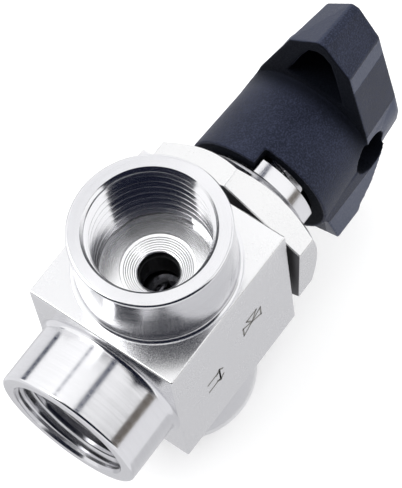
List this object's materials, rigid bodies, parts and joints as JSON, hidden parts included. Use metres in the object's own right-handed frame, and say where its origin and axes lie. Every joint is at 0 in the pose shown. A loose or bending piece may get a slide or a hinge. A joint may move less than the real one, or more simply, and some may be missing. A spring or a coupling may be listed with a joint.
{
  "type": "three-way ball valve",
  "caption": "Compact three-way selector ball valve: square steel body with female pipe ports, panel nut on a threaded neck, black pointer handle against a stop.",
  "frame": {"origin": "bottom centre of the valve's box: the valve stands on the end face of its lower port", "axes": "+Z from the lower port to the upper port, +X along the stem towards the handle, -X out of the common port"},
  "size_m": [0.0768, 0.031, 0.0569],
  "materials": {
    "stainless_steel": "machined satin, turned bosses",
    "polished_steel": "polished",
    "spring_steel": "plain",
    "black_nylon": "moulded, fine grain",
    "black_seat": "turned, filled PTFE",
    "white_ptfe": "turned",
    "o_ring_rubber": "moulded",
    "black_oxide_steel": "black oxide"
  },
  "bodies": {
    "valve": {"valve_body": "stainless_steel", "panel_nut": "stainless_steel", "bonnet": "stainless_steel", "gland_nut": "stainless_steel", "gland_ring": "stainless_steel", "lower_disc_spring": "spring_steel", "upper_disc_spring": "spring_steel", "upper_port_seat": "black_seat", "lower_port_seat": "black_seat", "common_port_seat": "black_seat", "upper_seat_o_ring": "o_ring_rubber", "lower_seat_o_ring": "o_ring_rubber", "common_seat_o_ring": "o_ring_rubber", "stem_o_ring": "o_ring_rubber", "bonnet_seal": "white_ptfe", "stem_thrust_washer": "white_ptfe", "lower_packing_ring": "white_ptfe", "middle_packing_ring": "white_ptfe", "upper_packing_ring": "white_ptfe"},
    "handle": {"handle_grip": "black_nylon", "handle_insert": "stainless_steel", "handle_set_screw": "black_oxide_steel", "stem": "stainless_steel", "ball": "polished_steel"}
  },
  "joints": [
    {"name": "handle_turn", "type": "hinge", "parent": "valve", "child": "handle", "pos_m": [-0.01185, 0, 0.0283], "axis": [-1, 0, 0], "range_deg": [0, 180]}
  ]
}
